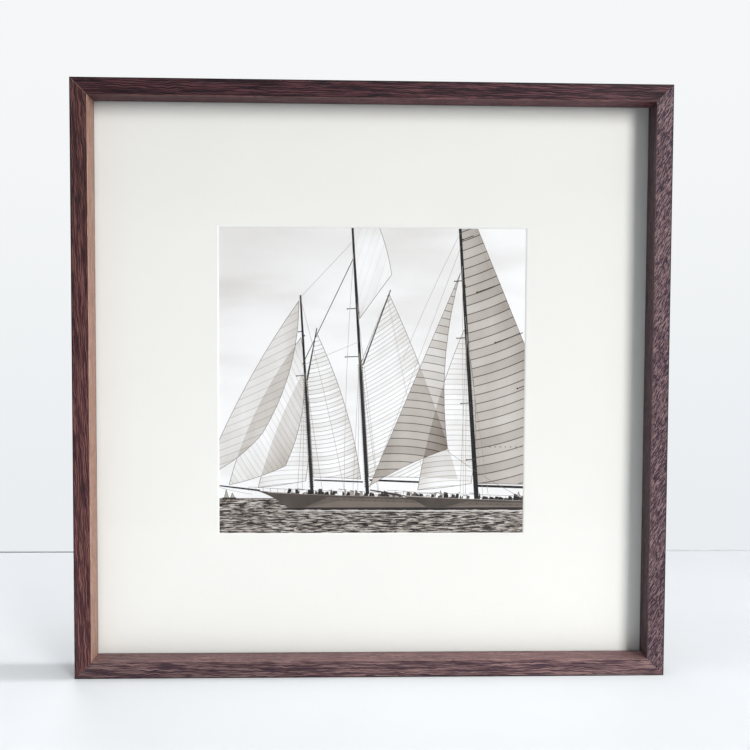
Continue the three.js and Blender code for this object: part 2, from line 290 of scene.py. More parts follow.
def srgb(red, green, blue):
    """A colour from 0 to 255 as linear light."""
    levels = (c / 255 for c in (red, green, blue))
    return tuple(c / 12.92 if c <= 0.04045 else ((c + 0.055) / 1.055) ** 2.4 for c in levels)


# ---- Wood ----

WOOD_BASE = (0.096, 0.036, 0.033)
WOOD_DARK = (0.026, 0.009, 0.014)
WOOD_PORE = (0.010, 0.004, 0.010)
WOOD_LIGHT = (0.215, 0.098, 0.080)
# Unstained wood. The same colours also paint the light reflection on the inner walls.
WOOD_BARE_AND_SHEEN = (0.440, 0.270, 0.205)
WOOD_BARE_AND_SHEEN_DARK = (0.280, 0.155, 0.114)
WOOD_DRIFT = 5 * MM           # how far the grain wanders along a rail
WOOD_RIPPLE = 2.4 * MM        # how far it ripples
LINE_PITCH = 1.8 * MM         # between the fine lines of the grain


def stained_wood(
    name, turns, offset, lean, shortness, figure, stain_and_sheen_tint, painted_light_at_ends, painted_wall_light, painted_wall_sheen, mitre_lines
):
    """Open-grained hardwood, stained dark, its grain along one side of the frame.

    On the front face, lean is how fast the grain runs across the rail and shortness how short its
    streaks are. figure is how strongly they show. The tint is this side's stain colour with a
    painted sheen mixed in. The values for the ends paint the wood lighter or darker towards each
    end, as light and sheen fall along the frame. The wall values paint the inner wall lighter or
    darker for its light and shade, and paint it partly in the light unstained colour as a
    reflection of the mat. mitre_lines is how much unstained wood shows at the mitre of each end.
    offset picks the piece of wood.
    """
    material, place = new_material(name)
    inputs = {"Vector": place, "Location": CENTRE, "Rotation": (0, turns * QUARTER, 0)}
    local = first_of(place.tree, "Mapping", inputs, vector_type="TEXTURE")
    along, depth, height = local.parts()
    inward = height + HALF

    # The grain's own coordinates: along it, into the rail, and across it.
    drift = (noise(local, (7, 30, 30), detail=1.0) - 0.5) * WOOD_DRIFT
    ripple = (noise(local, (150, 130, 130), detail=1.0) - 0.5) * WOOD_RIPPLE
    on_face = depth.calc("LESS_THAN", FRONT + ARRIS)
    across = along * (on_face * lean) + inward + (ripple + drift)
    run = (along + offset) * (on_face * (shortness - 1.0) + 1.0)
    inputs = (run, depth + offset * 0.7, across + offset * 1.3)
    grain = first_of(place.tree, "CombineXYZ", inputs)

    bands = noise(grain, (7, 220, 220))
    wander = noise(grain, (36, 260, 260))
    lines = (depth * 0.7 + across) * (FULL / LINE_PITCH) + wander * 16.0
    streaks = noise(grain, (36, 1200, 1200), detail=1.2, roughness=0.6) + lines.calc("SINE") * 0.07
    fibres = noise(grain, (130, 2400, 2400), roughness=0.7)
    pores = noise(grain, (60, 1300, 1300), detail=1.0, distortion=0.3)
    patches = noise(grain, (16, 60, 60), detail=1.0)

    wall = smooth(inward, FACE - 0.7 * MM, FACE - 0.3 * MM)
    strength = smooth(wall, 0, 1, figure, figure * 0.6)
    pore = smooth(pores, 0.56, 0.64) * strength
    colour = mixed(smooth(streaks, 0.50, 0.38) * strength, WOOD_BASE, WOOD_DARK)
    colour = mixed(smooth(streaks, 0.50, 0.62) * strength, colour, WOOD_LIGHT)
    colour = mixed(pore * 0.9, colour, WOOD_PORE)
    value = smooth(bands, 0.38, 0.62, 0.95, 1.05) * smooth(fibres, 0.3, 0.7, 0.75, 1.25)
    value = value * smooth(patches, 0.35, 0.65, 0.94, 1.06)
    # Painted light and shade: the inner wall and the ends of the rail made lighter or darker; the tint
    # carries a painted sheen.
    value = value * smooth(wall, 0, 1, 1.0, painted_wall_light)
    value = value * smooth(along, -HALF, HALF, *painted_light_at_ends)
    colour = shaded(colour.each_times(stain_and_sheen_tint), value)

    # Unstained wood at the mitres and where the inner arris is rubbed; on the inner wall the same light
    # colour is a painted reflection of the mat.
    from_mitre = HALF - (abs(along) + inward)
    showing = smooth(along.calc("GREATER_THAN", 0.0), 0, 1, *mitre_lines)
    bare_and_sheen = smooth(from_mitre, 0.55 * MM, 0.15 * MM) * showing
    bare_and_sheen = bare_and_sheen.calc("MAXIMUM", wall * painted_wall_sheen)
    on_arris = smooth(abs(inward - FACE), 0.75 * MM, 0.25 * MM)
    rubbed = on_arris * smooth(depth, FRONT + 1.0 * MM, FRONT + 0.4 * MM) * 0.22
    bare_wood_and_sheen = mixed(smooth(streaks, 0.38, 0.62), WOOD_BARE_AND_SHEEN_DARK, WOOD_BARE_AND_SHEEN)
    colour = mixed(bare_and_sheen.calc("MAXIMUM", rubbed), colour, bare_wood_and_sheen)

    # Painted shade: a dark line along the outer arris and where the inner wall meets the glass.
    from_outer = inward + smooth(depth, FRONT + 0.8 * MM, FRONT + 1.2 * MM)
    from_glass = REBATE - depth + smooth(wall, 1, 0)
    from_painted_shade = abs(from_outer.calc("MINIMUM", from_glass))
    colour = shaded(colour, smooth(from_painted_shade, 0.5 * MM, 1.3 * MM, 0.1, 1.0))

    hollow = fibres * 0.35 + (streaks - pore * 0.8)
    principled(
        Base_Color=colour,
        Roughness=smooth(streaks, 0.3, 0.7, 0.60, 0.48),
        Normal=bumped(hollow, 0.8, 0.28 * MM),
        Specular_IOR_Level=0.2,
    )
    return material


# ---- Paper, board and glass ----

PLAIN_GLASS = 1.5              # its index of refraction
COATED = 0.2                   # share of plain glass's reflection that coated picture glass keeps
FLUTE_PITCH = 6.5 * MM
THREAD_PITCH = 0.5 * MM


def paper_like(name, colour, mottle, fibre_scale, bump, roughness=0.9):
    """Paper or board: slow mottling, short fibres and a fine tooth."""
    material, place = new_material(name)
    fibres = noise(place, fibre_scale, detail=4.0, roughness=0.7)
    shade = (noise(place, 22.0, detail=3.0) - 0.5) * mottle + 1.0
    shade = (fibres - 0.5) * (mottle * 1.2) + shade
    principled(
        Base_Color=shaded(colour, shade),
        Roughness=smooth(fibres, 0.3, 0.7, roughness - 0.06, roughness + 0.04),
        Normal=bumped(fibres, bump, 0.08 * MM),
        Specular_IOR_Level=0.3,
    )
    return material


def picture_glass():
    """Clear coated glass that lets straight light through and mirrors a little at a slant."""
    material, place = new_material("picture_glass")
    smears = noise(place, (9, 9, 23), detail=4.0)
    clear = first_of(place.tree, "BsdfTransparent", ((0.985, 0.987, 0.985),))
    gloss = first_of(place.tree, "BsdfGlossy", {"Roughness": smooth(smears, 0.45, 0.75, 0.015, 0.07)})
    slant = first_of(place.tree, "Fresnel", {"IOR": PLAIN_GLASS}) * COATED
    output(first_of(place.tree, "MixShader", (slant, clear, gloss)))
    return material


def hardboard():
    """Brown fibreboard: pressed fibres in a cloudy, speckled face."""
    material, place = new_material("fibreboard")
    strands = noise(place, (420, 420, 900), detail=3.0, distortion=1.5)
    specks = noise(place, 900.0, roughness=0.8)
    browns = ((0.25, srgb(112, 84, 60)), (0.5, srgb(142, 110, 80)), (0.75, srgb(168, 136, 103)))
    colour = mixed(smooth(specks, 0.6, 0.78), ramp(strands, browns), srgb(92, 66, 46))
    principled(
        Base_Color=shaded(colour, smooth(noise(place, 14.0, detail=3.0), 0.3, 0.7, 0.88, 1.1)),
        Roughness=smooth(strands, 0.3, 0.7, 0.78, 0.62),
        Normal=bumped(strands + specks, 0.4, 0.1 * MM),
    )
    return material


def corrugated_card():
    """Brown card with faint flutes and a fibrous face."""
    material, place = new_material("filler_card")
    flutes = (place.parts()[0] * (FULL / FLUTE_PITCH)).calc("SINE")
    fibres = noise(place, 700.0, detail=4.0, roughness=0.7)
    principled(
        Base_Color=shaded(srgb(196, 158, 112), flutes * 0.03 + smooth(fibres, 0.3, 0.7, 0.88, 1.1)),
        Roughness=smooth(fibres, 0.3, 0.7, 0.95, 0.82),
        Normal=bumped(fibres * 0.4 + flutes, 0.3, 0.15 * MM),
    )
    return material


def linen():
    """Woven tape: threads over and under."""
    material, place = new_material("linen_tape")
    warp, _, weft = ((part * (math.pi / THREAD_PITCH)).calc("SINE") for part in place.parts())
    weave = warp * weft
    slubs = noise(place, (300, 300, 2200))
    principled(
        Base_Color=shaded(srgb(232, 226, 208), weave * 0.06 + smooth(slubs, 0.3, 0.7, 0.86, 1.04)),
        Roughness=smooth(slubs, 0.3, 0.7, 0.95, 0.85),
        Normal=bumped(weave, 0.5, 0.1 * MM),
    )
    return material


# ---- Metal and rubber ----


def black_coated_steel():
    """Black coating over pressed steel, rubbed thin in places."""
    material, place = new_material("black_steel")
    rubs = noise(place, (900, 900, 240), detail=4.0, roughness=0.7)
    principled(
        Base_Color=mixed(smooth(rubs, 0.62, 0.76), (0.020, 0.020, 0.022), (0.085, 0.082, 0.080)),
        Roughness=smooth(rubs, 0.35, 0.7, 0.36, 0.55),
        Normal=bumped(noise(place, 1400.0), 0.25, 0.05 * MM),
        Metallic=smooth(rubs, 0.62, 0.76, 0.0, 0.5),
        Coat_Weight=0.25,
        Coat_Roughness=0.25,
    )
    return material


def zinc_plated_steel():
    """Bright zinc: cloudy crystals, fine drawing lines and a faint yellow cast."""
    material, place = new_material("bright_steel")
    voronoi = node(place.tree, "TexVoronoi", {"Vector": place, "Scale": 1100.0})
    crystals = Value(voronoi.outputs["Color"])
    clouds = noise(place, 420.0, detail=4.0, roughness=0.65)
    bright = mixed(smooth(clouds, 0.35, 0.65), (0.50, 0.49, 0.46), (0.68, 0.66, 0.60))
    principled(
        Base_Color=mixed(0.12, bright, crystals, "SOFT_LIGHT"),
        Metallic=1.0,
        Roughness=smooth(clouds, 0.3, 0.7, 0.26, 0.44),
        Normal=bumped(noise(place, (300, 2600, 2600)), 0.2, 0.03 * MM),
    )
    return material


def soft_rubber():
    """Dusty black rubber with a fine tooth."""
    material, place = new_material("black_rubber")
    dust = noise(place, 700.0, detail=4.0, roughness=0.7)
    principled(
        Base_Color=mixed(smooth(dust, 0.45, 0.8), (0.022, 0.022, 0.023), (0.075, 0.072, 0.068)),
        Roughness=smooth(dust, 0.3, 0.7, 0.68, 0.85),
        Normal=bumped(noise(place, 4200.0, detail=1.0), 0.35, 0.05 * MM),
    )
    return material


# ---- Printed picture's inks ----

INK_RAMP = (
    (0.00, srgb(18, 17, 22)),
    (0.25, srgb(66, 58, 55)),
    (0.50, srgb(130, 119, 111)),
    (0.75, srgb(193, 187, 182)),
    (1.00, srgb(246, 246, 249)),
)


def printed(name, tone_at):
    """A printed surface whose tone, 0 to 1, is tone_at(place), in faded sepia inks."""
    material, place = new_material(name)
    grain = noise(place, 1500.0, roughness=0.6)
    principled(
        Base_Color=ramp((grain - 0.5) * 0.07 + tone_at(place), INK_RAMP),
        Roughness=smooth(grain, 0.3, 0.7, 0.55, 0.65),
        Normal=bumped(grain, 0.1, 0.03 * MM),
        Specular_IOR_Level=0.3,
    )
    return material


def sky_tone(place):
    """Thin cloud, heavier towards the upper left corner."""
    clouds = noise(place, (6, 1, 20), detail=4.0, roughness=0.45)
    wisps = noise(place, (16, 1, 70), detail=3.0)
    x, _, z = place.parts()
    heavy = smooth(z - x * 0.5, CENTRE.z + 60 * MM, CENTRE.z + 210 * MM, 0.0, 0.10)
    return (wisps - 0.5) * 0.04 + (smooth(clouds, 0.34, 0.58, 0.92, 0.99) - heavy)


def sea_tone(place):
    """Broken water on a slow swell."""
    chop = noise(place, (90, 1, 850), detail=4.0, roughness=0.65, distortion=0.45)
    swell = noise(place, (30, 1, 210))
    return (swell - 0.5) * 0.35 + smooth(chop, 0.41, 0.59, 0.02, 0.76)


def drawn_tone(place):
    """Sails, spars and hulls. Their own tone, belly and seams come from the mesh.

    ink is (tone, how much lighter the belly is, how dark the seams are), and panel is (panels
    from the tack, 0 at the luff to 1 at the leech, how far the seams bow, in panels).
    """
    ink, panel = (
        Value(node(place.tree, "Attribute", attribute_name=name).outputs["Vector"])
        for name in ("ink", "panel")
    )
    tone, belly, seam = ink.parts()
    number, share, bow = panel.parts()
    arch = share * (1.0 - share) * 4.0
    seams = arch * bow + number
    line = smooth(seams.calc("PINGPONG", 0.5), 0.075, 0.025)
    inputs = {"W": seams.calc("FLOOR")}
    cloth = first_of(place.tree, "TexWhiteNoise", inputs, noise_dimensions="1D")
    folds = noise(place, (45, 1, 22), detail=3.0)
    tone = (arch - 0.6) * belly + tone - line * seam
    tone = (cloth - 0.5) * seam * 0.22 + tone
    return (folds - 0.5) * 0.16 + tone


# ---- Meshes ----

SHARP = math.radians(30)       # the least angle between two faces that reads as an edge


def link_object(name, mesh):
    piece = bpy.data.objects.new(name, mesh)
    bpy.context.scene.collection.objects.link(piece)
    return piece


def smooth_faces(mesh, sharp_over=SHARP):
    mesh.shade_smooth()
    mesh.set_sharp_from_angle(angle=sharp_over)


def finish_mesh(name, built, materials, sharp_over=SHARP):
    """Turns a bmesh into a linked object, its faces pointing out and smooth between sharp edges."""
    bmesh.ops.recalc_face_normals(built, faces=built.faces)
    mesh = bpy.data.meshes.new(name)
    built.to_mesh(mesh)
    built.free()
    for material in materials:
        mesh.materials.append(material)
    smooth_faces(mesh, sharp_over)
    return link_object(name, mesh)


def mesh_alone(piece):
    """Keeps a piece's mesh and drops its object, so that copies can be placed."""
    mesh = piece.data
    bpy.data.objects.remove(piece)
    return mesh


def ring_faces(built, low, high):
    """Joins two loops of vertices with quads."""
    for i in range(len(low)):
        j = (i + 1) % len(low)
        built.faces.new((low[i], low[j], high[j], high[i]))


def loft(built, loops, closed=False):
    """Joins loops of points with quads. Closed, the last joins the first; else both ends are capped."""
    rows = [[built.verts.new(point) for point in loop] for loop in loops]
    for low, high in zip(rows, rows[1:]):
        ring_faces(built, low, high)
    if closed:
        ring_faces(built, rows[-1], rows[0])
    else:
        built.faces.new(rows[0])
        built.faces.new(rows[-1])
    return rows


def arc(centre, radius, start, end, steps):
    """Points along an arc, in two dimensions, both ends included."""
    angles = [start + (end - start) * i / steps for i in range(steps + 1)]
    return [(centre[0] + radius * math.cos(a), centre[1] + radius * math.sin(a)) for a in angles]


def circle(centre, radius, steps):
    return arc(centre, radius, 0, FULL, steps)[:-1]


def between(a, b, share):
    """The point of the plane that lies a share of the way from a to b."""
    return (a[0] + (b[0] - a[0]) * share, a[1] + (b[1] - a[1]) * share)


def combine(piece, tool, operation):
    """Joins a tool's solids to a piece's mesh, or cuts them out of it, for good."""
    boolean = piece.modifiers.new("boolean", "BOOLEAN")
    boolean.operation = operation
    boolean.solver = "EXACT"
    boolean.object = tool
    bpy.context.view_layer.update()
    result = bpy.data.meshes.new_from_object(piece.evaluated_get(bpy.context.evaluated_depsgraph_get()))
    piece.modifiers.remove(boolean)
    result.name = piece.name
    piece.data = result
    bpy.data.objects.remove(tool)
    smooth_faces(result)


def cut_away(piece, built):
    combine(piece, finish_mesh("tool", built, []), "DIFFERENCE")


def add_prism(built, outline, near, far):
    """A solid between two depths, from an outline in x and z."""
    loft(built, [[(x, y, z) for x, z in outline] for y in (near, far)])


def stand_for(piece, body, node_name):
    """The piece rides on a body and is shown in a CAD node's stead."""
    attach(piece, body)
    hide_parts(node_name)


# ---- Rails ----


def moulding_section():
    """The rail's section as (distance in from the outer face, depth), broken edges rounded."""
    steps = 4
    section = arc((ARRIS, FRONT + ARRIS), ARRIS, 2 * QUARTER, 3 * QUARTER, steps)
    section += arc((FACE - ARRIS, FRONT + ARRIS), ARRIS, 3 * QUARTER, 4 * QUARTER, steps)
    section += [(FACE, REBATE), (WALL, REBATE), (WALL, BACK)]
    section += arc((ARRIS, BACK - ARRIS), ARRIS, QUARTER, 2 * QUARTER, steps)
    return section


def nail_slot_outline(end):
    """The L of a V-nail slot round the corner at one end of a rail, in the rail's own x and z."""
    outline = [
        (NAIL_APEX, NAIL_APEX),
        (NAIL_TIP, NAIL_APEX),
        (NAIL_TIP, NAIL_INNER),
        (NAIL_INNER, NAIL_INNER),
        (NAIL_INNER, NAIL_TIP),
        (NAIL_APEX, NAIL_TIP),
    ]
    return [(end * (HALF - x), z) for x, z in outline]


def screw_places(side):
    """Where screws enter a rail, in its own x and z."""
    places = [(end * BUTTON_PITCH / 2, BUTTON_EDGE) for end in (-1, 1)]
    from_middle = HANGER_HEIGHT - PLATE_SCREW_DROP - HALF
    if side == "left":
        places.append((-from_middle, HANGER_EDGE))
    if side == "right":
        places.append((from_middle, HANGER_EDGE))
    return places


def make_rail(rail, side, turns, wood):
    """A mitred length of moulding, with its V-nail slots and screw holes."""
    place = side_matrix(turns)
    built = bmesh.new()
    loft(built, [
        [(end * (HALF - MITRE_CLEARANCE - u), y, u) for u, y in moulding_section()]
        for end in (-1, 1)
    ])
    built.transform(place)
    piece = finish_mesh("look_" + rail, built, [wood])

    past_back = BACK + 1 * MM
    tools = bmesh.new()
    for end in (-1, 1):
        add_prism(tools, nail_slot_outline(end), BACK - NAIL_SLOT_DEPTH, past_back)
    for centre in screw_places(side):
        add_prism(tools, circle(centre, SCREW_PILOT, 24), BACK - SCREW_REACH, past_back)
    tools.transform(place)
    cut_away(piece, tools)
    piece.modifiers.new("flat_faces", "WEIGHTED_NORMAL").keep_sharp = True
    stand_for(piece, "frame", rail)


# The values for the ends, painted light and mitre lines, are for the ends at negative and positive x of
# the side.
# The tints, end values and wall values also paint the light, shade and sheen that fall on each side.
RAIL_WOOD = {
    "bottom": {
        "offset": 3.1, "lean": 0.012, "shortness": 1.0, "figure": 0.75, "stain_and_sheen_tint": (1.04, 1.45, 1.68),
        "painted_light_at_ends": (0.86, 1.22), "painted_wall_light": 1.55, "painted_wall_sheen": 0.10, "mitre_lines": (0.05, 0.05),
    },
    "left": {
        "offset": 7.7, "lean": -0.05, "shortness": 1.2, "figure": 0.74, "stain_and_sheen_tint": (0.80, 0.75, 0.82),
        "painted_light_at_ends": (0.84, 1.24), "painted_wall_light": 1.5, "painted_wall_sheen": 0.9, "mitre_lines": (0.45, 0.08),
    },
    "top": {
        "offset": 11.9, "lean": 0.015, "shortness": 0.8, "figure": 0.95, "stain_and_sheen_tint": (0.46, 0.37, 0.54),
        "painted_light_at_ends": (1.18, 0.80), "painted_wall_light": 1.9, "painted_wall_sheen": 0.02, "mitre_lines": (0.10, 0.45),
    },
    "right": {
        "offset": 17.3, "lean": 0.52, "shortness": 6.0, "figure": 0.95, "stain_and_sheen_tint": (1.04, 1.50, 1.94),
        "painted_light_at_ends": (0.96, 1.06), "painted_wall_light": 0.7, "painted_wall_sheen": 0.0, "mitre_lines": (0.05, 0.10),
    },
}

# Each side gets its own copy of the wood, with its own painted light, shade and sheen.
for info in SIDES:
    look = RAIL_WOOD[info["side"]]
    wood = stained_wood("stained_wood_" + info["side"], info["turns"], **look)
    make_rail(info["rail"], info["side"], info["turns"], wood)


# ---- Window mat ----


def square_loop(half, depth):
    corners = ((-half, -half), (half, -half), (half, half), (-half, half))
    return [(x, depth, CENTRE.z + z) for x, z in corners]


def make_window_mat():
    """Mat board round the window: paper on the front, a clean white core on the sloping cut."""
    fold = 0.12 * MM
    front_half = WINDOW_HALF + CORE
    built = bmesh.new()
    rows = loft(built, [
        square_loop(MAT_HALF, MAT_BACK),
        square_loop(MAT_HALF, MAT_FRONT + fold),
        square_loop(MAT_HALF - fold, MAT_FRONT),
        square_loop(front_half + fold, MAT_FRONT),
        square_loop(front_half - fold / 2, MAT_FRONT + fold / 2),
        square_loop(WINDOW_HALF, MAT_BACK),
    ], closed=True)
    cut = {corner for row in rows[4:] for corner in row}
    for face in built.faces:
        face.material_index = int(all(corner in cut for corner in face.verts))
    paper = paper_like("mat_paper", (0.850, 0.845, 0.825), 0.02, 900.0, 0.25)
    core = paper_like("mat_core", (0.90, 0.90, 0.89), 0.02, 1500.0, 0.2)
    piece = finish_mesh("look_window_mat", built, [paper, core])
    stand_for(piece, "frame", "window_mat")


make_window_mat()


# ---- Print ----
# A picture of the maker's own, drawn from textbook sail plans: a gaff schooner and a cutter
# racing under a pale sky. Millimetres from the middle of the window, z up.

PICTURE_HALF = 140
PAPER, SKY, SEA, DRAWN = range(4)
HORIZON = -106
WATERLINE = -115
LAYER_SHADE = 0.12             # how much darker each further layer of sailcloth is, lit from behind
BELLY = 0.12                   # how much lighter the middle of a sail is than its edges
ROPE = 0.3
EDGE_ROPE = {"width": 0.45, "tone": 0.42}      # sewn into the edges of a sail


def no_panels(x, z):
    """The panels of a shape that has none."""
    return (0.0, 0.0, 0.0)


PLAIN = {"material": DRAWN, "tone": 0.0, "belly": 0.0, "seam": 0.0, "cloth": False, "lie": no_panels}


def bowed(start, end, bow, steps=9):
    """Points from start up to, but not at, end along a shallow curve."""
    if not bow:
        return [start]
    run_x, run_z = end[0] - start[0], end[1] - start[1]
    points = []
    for i in range(steps):
        t = i / steps
        rise = 4 * bow * t * (1 - t)
        points.append((start[0] + run_x * t + run_z * rise, start[1] + run_z * t - run_x * rise))
    return points


def covers(shape, x, z):
    """True if a point is inside a shape's outline, by counting the edges to its right."""
    low_x, low_z, high_x, high_z = shape["box"]
    if not (low_x <= x <= high_x and low_z <= z <= high_z):
        return False
    outline = shape["outline"]
    odd = False
    for (x0, z0), (x1, z1) in zip(outline, outline[1:] + outline[:1]):
        if (z0 > z) != (z1 > z) and x < x0 + (x1 - x0) * (z - z0) / (z1 - z0):
            odd = not odd
    return odd


class Picture:
    """Flat shapes laid one over another. Each has its ink and the lie of its panels."""

    def __init__(self):
        self.shapes = []

    def add(self, outline, **look):
        """Lays a shape on top. It looks as PLAIN says, apart from look.

        lie(x, z) is (panels from the tack, 0 at the luff to 1 at the leech, bow of the seams).
        """
        area = sum(a[0] * b[1] - b[0] * a[1] for a, b in zip(outline, outline[1:] + outline[:1]))
        points = outline if area > 0 else outline[::-1]
        xs, zs = zip(*points)
        box = (min(xs), min(zs), max(xs), max(zs))
        self.shapes.append({**PLAIN, "outline": points, "box": box, **look})

    def rectangle(self, half_width, low, high, material):
        corners = [(-half_width, low), (half_width, low), (half_width, high), (-half_width, high)]
        self.add(corners, material=material)

    def top_at(self, x, z):
        """The uppermost shape at a point, and how many layers of cloth lie under it.

        Off the sheet there is none, and nothing prints past the picture.
        """
        paper, ground = self.shapes[0], self.shapes[1]
        if not covers(paper, x, z):
            return None, 0
        if not covers(ground, x, z):
            return paper, 0
        pile = [shape for shape in self.shapes if covers(shape, x, z)]
        layers = sum(shape["cloth"] for shape in pile[:-1])
        return pile[-1], layers if pile[-1]["cloth"] else 0

    def band(self, points, widths, tone):
        """A strip along a path, each point with its own width."""
        left, right = [], []
        for i, (x, z) in enumerate(points):
            before, after = points[max(i - 1, 0)], points[min(i + 1, len(points) - 1)]
            run_x, run_z = after[0] - before[0], after[1] - before[1]
            reach = widths[i] / 2 / math.hypot(run_x, run_z)
            left.append((x - run_z * reach, z + run_x * reach))
            right.append((x + run_z * reach, z - run_x * reach))
        self.add(left + right[::-1], tone=tone)

    def line(self, start, end, width, tone, end_width=None):
        """A straight spar or rope, tapering from width to end_width."""
        self.band([start, end], [width, width if end_width is None else end_width], tone)

    def rope(self, start, end, sag=0.0, width=ROPE, tone=0.6):
        points = bowed(start, end, sag) + [end]
        self.band(points, [width] * len(points), tone)

    def block(self, centre, size, tone):
        """A pulley, fitting or porthole: a small dark hexagon."""
        self.add(circle(centre, size, 6), tone=tone)

    def sail(self, corners, bows, tone, seam=0.2, pitch=4.0, slope=0.0, bow=0.0):
        """A sail from its corners, luff first, each edge bowed out by a share of its length.

        slope is the seams' angle in degrees, pitch the width of a panel, and bow in panels.
        """
        edges = list(zip(corners, corners[1:] + corners[:1], bows))
        outline = [point for edge in edges for point in bowed(*edge)]
        tack = corners[0]
        run_x, run_z = math.cos(math.radians(slope)), math.sin(math.radians(slope))
        reach = [(x - tack[0]) * run_x + (z - tack[1]) * run_z for x, z in outline]
        low, wide = min(reach), max(reach) - min(reach)

        def lie(x, z):
            dx, dz = x - tack[0], z - tack[1]
            number = (dz * run_x - dx * run_z) / pitch
            share = (dx * run_x + dz * run_z - low) / wide
            return (number, share, bow)

        self.add(outline, tone=tone, belly=BELLY, seam=seam, cloth=True, lie=lie)
        for start, end, curve in edges:
            self.rope(start, end, curve, **EDGE_ROPE)


@dataclass
class Yacht:
    """Draws one yacht, its bow to the left, from a plan in hull lengths aft of the stem and up."""

    picture: Picture
    stem: float
    deck: float
    length: float
    lean: float
    scale: float

    def at(self, aft, up):
        return (self.stem + self.length * (aft - up * self.lean), self.deck + self.length * up)

    def sheer(self, x):
        """Height of the deck's edge, which falls away from the stem."""
        share = max(0.0, x - self.stem) / self.length
        return self.deck - 6.5 * self.scale * share ** 0.65

    def sail(self, corners, bows, tone, **cloth):
        self.picture.sail([self.at(*corner) for corner in corners], bows, tone, **cloth)

    def spar(self, start, end, width, tone=0.05, end_width=None):
        self.picture.line(self.at(*start), self.at(*end), width, tone, end_width)

    def rope(self, start, end, sag=0.0, **look):
        self.picture.rope(self.at(*start), self.at(*end), sag, **look)

    def mast(self, aft, height, width, hoops_to, spreaders):
        """A tapering mast with hoops on its lower part, and spreaders towards the bow."""
        self.spar((aft, -0.02), (aft, height), width, 0.0, width * 0.55)
        hoop = 0.02
        while hoop < hoops_to:
            x, z = self.at(aft, hoop)
            self.picture.line((x - width * 0.75, z), (x + width * 0.75, z + 0.3), 0.7, 0.06)
            hoop += 0.013
        for up, reach in spreaders:
            self.spar((aft - reach, up), (aft + 0.006, up + 0.004), 0.8, 0.2)
            self.picture.block(self.at(aft - reach, up), 0.7, 0.2)
            self.picture.block(self.at(aft + 0.008, up - 0.02), 0.8, 0.15)
        for side in (-0.075, -0.05, 0.055):
            self.rope((aft + side, 0.0), (aft, spreaders[0][0] + 0.02), tone=0.55)

    def hull(self, stern, keel_start):
        """Topsides in shade, darkest under the bow, with a pale rail and broken water below."""
        steps = 16
        picture, scale = self.picture, self.scale
        stop = self.at(stern, 0)[0]
        water_start = self.at(keel_start, 0)[0]
        middle = self.at(keel_start + 0.16, 0)[0]
        xs = [self.stem + (stop - self.stem) * i / steps for i in range(steps + 1)]
        top = [(x, self.sheer(x)) for x in xs]
        overhang = bowed((water_start, WATERLINE), top[0], 0.05, 6)
        picture.add([*overhang, *top, (stop, WATERLINE)], tone=0.28)
        low = [(x, WATERLINE + 1.2) for x in (stop, water_start + 14)]
        for past, drop, tone in ((middle, 2.6, 0.36), (middle + 8, 5.5, 0.43)):
            picture.add([(x, z - drop * scale) for x, z in top if x > past] + low, tone=tone)
        rail = [(x, z - 0.8 * scale) for x, z in reversed(top[1:])]
        picture.add([*top[1:], *rail], tone=0.66)
        port = middle
        while port < stop - 4:
            picture.block((port, self.sheer(port) - 4.4 * scale), 0.5, 0.12)
            port += 5.6 * scale
        picture.band([(water_start - 3, WATERLINE), (stop, WATERLINE)], [1.3, 2.4], 0.08)
        picture.band([(water_start - 10, WATERLINE - 1.8), (stop, WATERLINE - 2.1)], [0.5, 1.0], 0.86)

    def deck_gear(self, start, stop, seed):
        """Deckhouses, winches and stowed gear, small and against the light, inside a guard wire."""
        pick = random.Random(seed)
        scale = self.scale
        x, last = self.at(start, 0)[0], self.at(stop, 0)[0]
        while x < last:
            wide = pick.uniform(1.0, 5.5) * scale
            tall = pick.uniform(1.0, 5.8) * scale
            tone = pick.choice((0.0, 0.03, 0.08, 0.15, 0.3, 0.6, 0.96, 0.98))
            lean = pick.uniform(-0.5, 0.8)
            base = self.sheer(x) - 0.6
            self.picture.add([
                (x, base),
                (x + wide, base),
                (x + wide * 0.9 + lean, base + tall * pick.uniform(0.6, 1.0)),
                (x + wide * 0.2 + lean, base + tall),
            ], tone=tone)
            if tone > 0.3:
                self.picture.line((x, base + tall), (x + wide, base + tall * 0.9), 0.5, 0.12)
            x += wide * pick.uniform(0.5, 1.15)
        foremost = self.at(start - 0.2, 0)[0]
        post = foremost
        while post < last:
            foot = self.sheer(post) - 0.3
            self.picture.line((post, foot), (post + 0.1, foot + 3.6 * scale), 0.3, 0.35)
            post += 6.5 * scale
        steps = math.ceil((last - foremost) / 8)
        xs = [foremost + 8 * i for i in range(steps)]
        wire = [(x, self.sheer(x) + 3.2 * scale) for x in xs]
        self.picture.band(wire, [0.3] * len(wire), 0.45)


def draw_setting(picture):
    """The sheet, the sky and sea in its window, and far sails on the horizon."""
    sheet, window = PRINT_HALF / MM, PICTURE_HALF
    picture.rectangle(sheet, -sheet, sheet, PAPER)
    picture.rectangle(window, -window, window, SKY)
    picture.rectangle(window, -window, HORIZON, SEA)
    picture.line((-window, HORIZON + 0.2), (window, HORIZON + 0.2), 0.7, 0.3)
    foot = HORIZON + 0.5
    for x, height in ((-131, 8), (-125.5, 5), (62, 7), (133, 6)):
        picture.sail([(x - 1.8, foot), (x, foot + height), (x + 2.4, foot)], (0, 0, 0), 0.62, seam=0)
        hull = [(x - 3, foot - 1), (x + 3, foot - 1), (x + 3.6, foot + 0.7), (x - 3.6, foot + 0.7)]
        picture.add(hull, tone=0.15)


